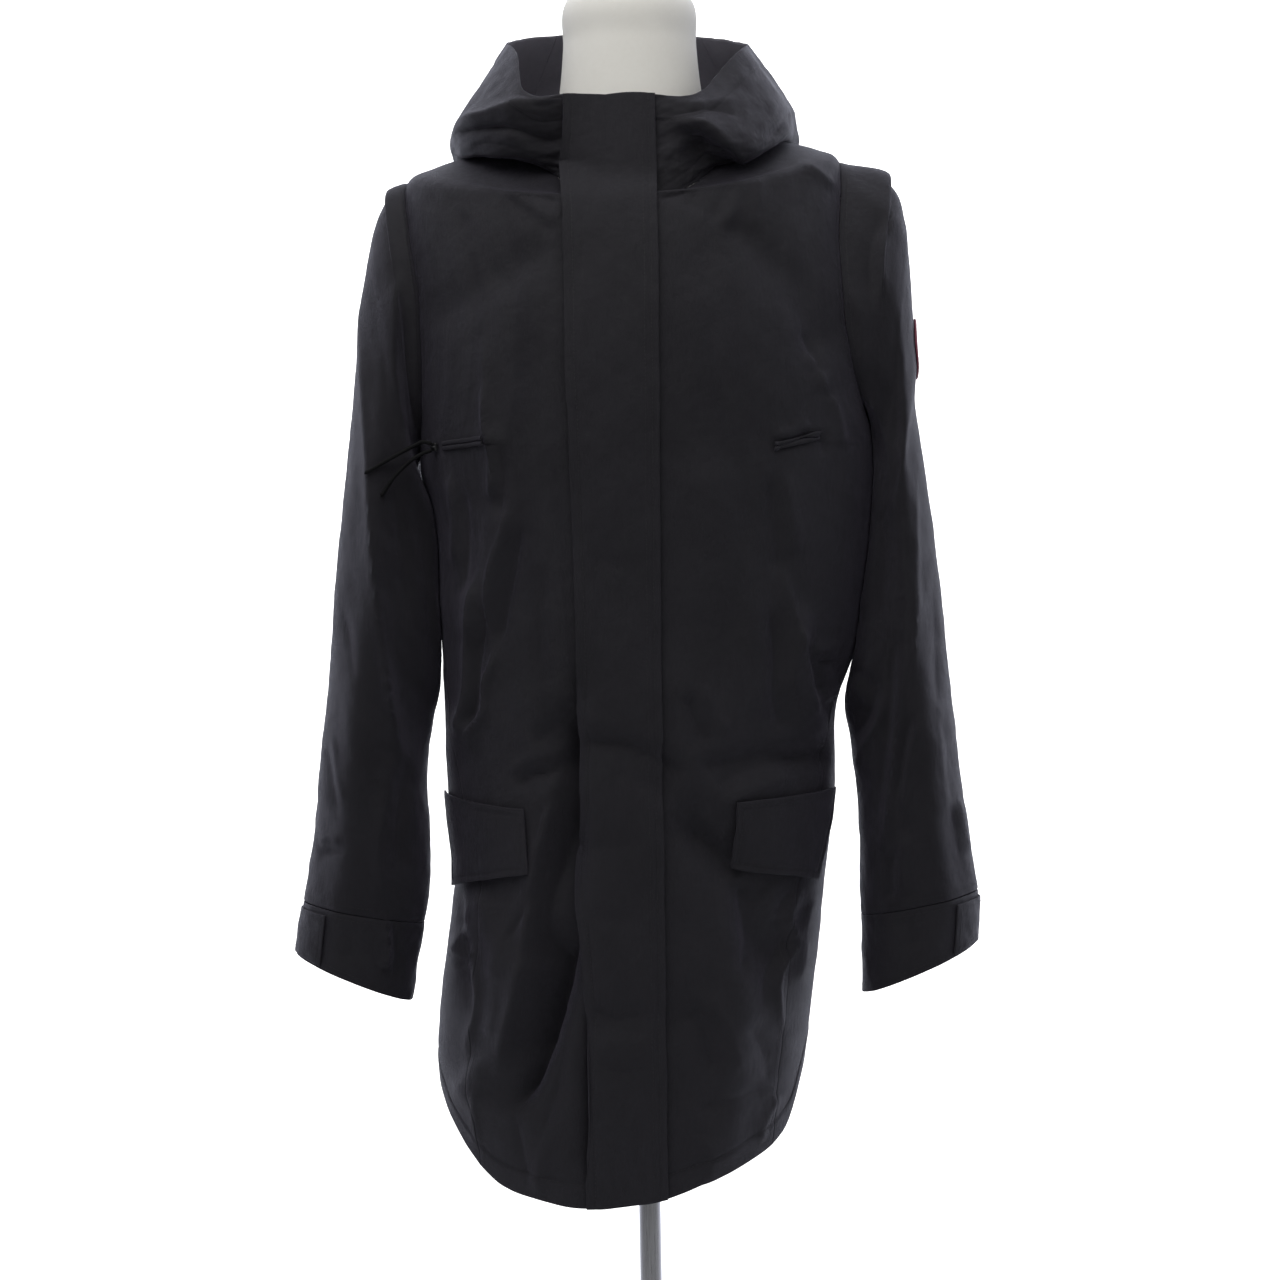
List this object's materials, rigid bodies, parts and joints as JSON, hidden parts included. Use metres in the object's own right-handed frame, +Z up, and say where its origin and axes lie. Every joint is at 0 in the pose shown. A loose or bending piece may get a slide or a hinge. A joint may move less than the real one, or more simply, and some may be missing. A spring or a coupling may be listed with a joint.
{
  "type": "rain jacket on dress form",
  "caption": "Long hooded rain jacket with a storm flap, slanted pocket flaps and tabbed cuffs, closed, on a limbless dress form with a pole and a round base",
  "frame": {"origin": "the middle of the base's flat underside, on the floor", "axes": "+Z up along the pole, the jacket's front faces -Y, +X is the wearer's left"},
  "size_m": [0.5957, 0.3802, 1.586],
  "materials": {
    "jacket_cloth": "dense black woven shell cloth with a soft satin sheen",
    "zip_tape": "black zip tape with black teeth",
    "slider_metal": "black enamel",
    "pull_cord": "black braided cord",
    "patch": "plain embroidered cloth with a stitched rim",
    "form_cloth": "cream woven cloth",
    "pole_metal": "satin",
    "base_paint": "matt grey paint"
  },
  "bodies": {
    "root": {"front_right": "jacket_cloth", "front_left": "jacket_cloth", "back": "jacket_cloth", "sleeve_right": "jacket_cloth", "sleeve_left": "jacket_cloth", "cuff_right": "jacket_cloth", "cuff_left": "jacket_cloth", "cuff_tab_right": "jacket_cloth", "cuff_tab_left": "jacket_cloth", "hood_side_right": "jacket_cloth", "hood_centre": "jacket_cloth", "hood_side_left": "jacket_cloth", "storm_flap": "jacket_cloth", "pocket_flap_right": "jacket_cloth", "pocket_flap_left": "jacket_cloth", "front_zip": "zip_tape", "chest_zip_right": "zip_tape", "chest_zip_left": "zip_tape", "chest_slider_right": "slider_metal", "pull_cord_upper": "pull_cord", "pull_cord_lower": "pull_cord", "sleeve_patch": "patch", "form": "form_cloth", "pole": "pole_metal", "base": "base_paint"}
  },
  "joints": []
}
